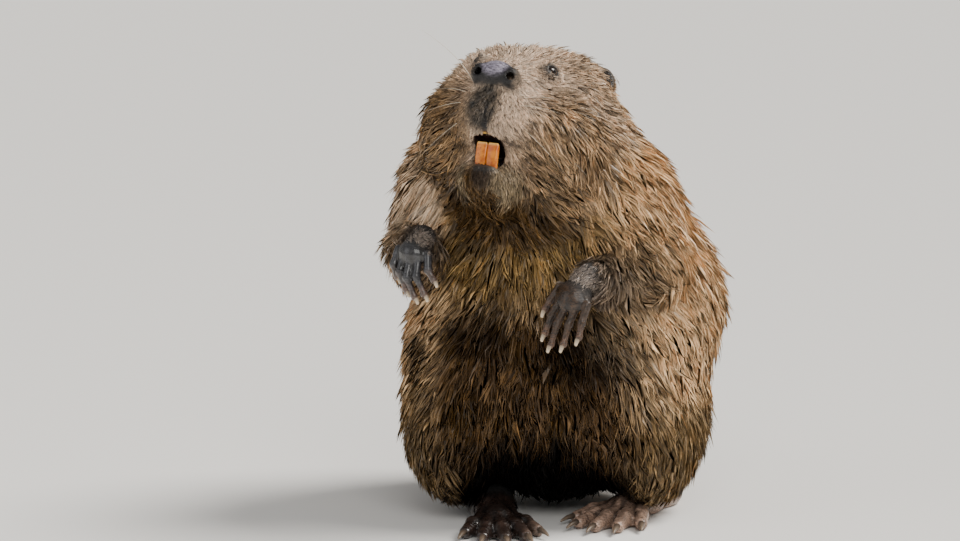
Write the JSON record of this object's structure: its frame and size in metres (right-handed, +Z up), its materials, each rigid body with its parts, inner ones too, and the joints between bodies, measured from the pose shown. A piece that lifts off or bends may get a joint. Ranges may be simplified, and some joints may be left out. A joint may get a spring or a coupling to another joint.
{
  "type": "beaver model",
  "caption": "Life-size still model of a beaver sitting up on its hind feet and flat tail, forepaws held before its chest, mouth a little open.",
  "frame": {"origin": "middle of the whole animal's footprint, on the floor", "axes": "+Z up, -Y the way the animal faces, +X its left side; the tail runs towards +Y"},
  "size_m": [0.3304, 0.6422, 0.4665],
  "materials": {
    "coat": "long grey-brown guard hair with tan tips",
    "dark_coat": "short dark brown hair",
    "bare_skin": "dark grey bare or scaly skin, a little shiny",
    "claw": "pale horn",
    "tooth": "orange enamel",
    "eye": "wet, nearly black"
  },
  "bodies": {
    "root": {"claw_fore_left_1": "claw", "claw_fore_left_2": "claw", "claw_fore_left_3": "claw", "claw_fore_left_4": "claw", "claw_fore_left_5": "claw", "claw_fore_right_1": "claw", "claw_fore_right_2": "claw", "claw_fore_right_3": "claw", "claw_fore_right_4": "claw", "claw_fore_right_5": "claw", "claw_hind_left_1": "claw", "claw_hind_left_2": "claw", "claw_hind_left_3": "claw", "claw_hind_left_4": "claw", "claw_hind_left_5": "claw", "claw_hind_right_1": "claw", "claw_hind_right_2": "claw", "claw_hind_right_3": "claw", "claw_hind_right_4": "claw", "claw_hind_right_5": "claw", "ear_left": "dark_coat", "ear_right": "dark_coat", "eye_left": "eye", "eye_right": "eye", "forearm_left": "dark_coat", "forearm_right": "dark_coat", "forepaw_left": "bare_skin", "forepaw_right": "bare_skin", "haunch_left": "coat", "haunch_right": "coat", "head": "coat", "hind_foot_left": "bare_skin", "hind_foot_right": "bare_skin", "incisors_lower": "tooth", "incisors_upper": "tooth", "lower_jaw": "coat", "muzzle": "coat", "neck": "coat", "nose": "bare_skin", "tail": "bare_skin", "tail_base": "coat", "trunk": "coat", "upper_arm_left": "coat", "upper_arm_right": "coat"}
  },
  "joints": []
}
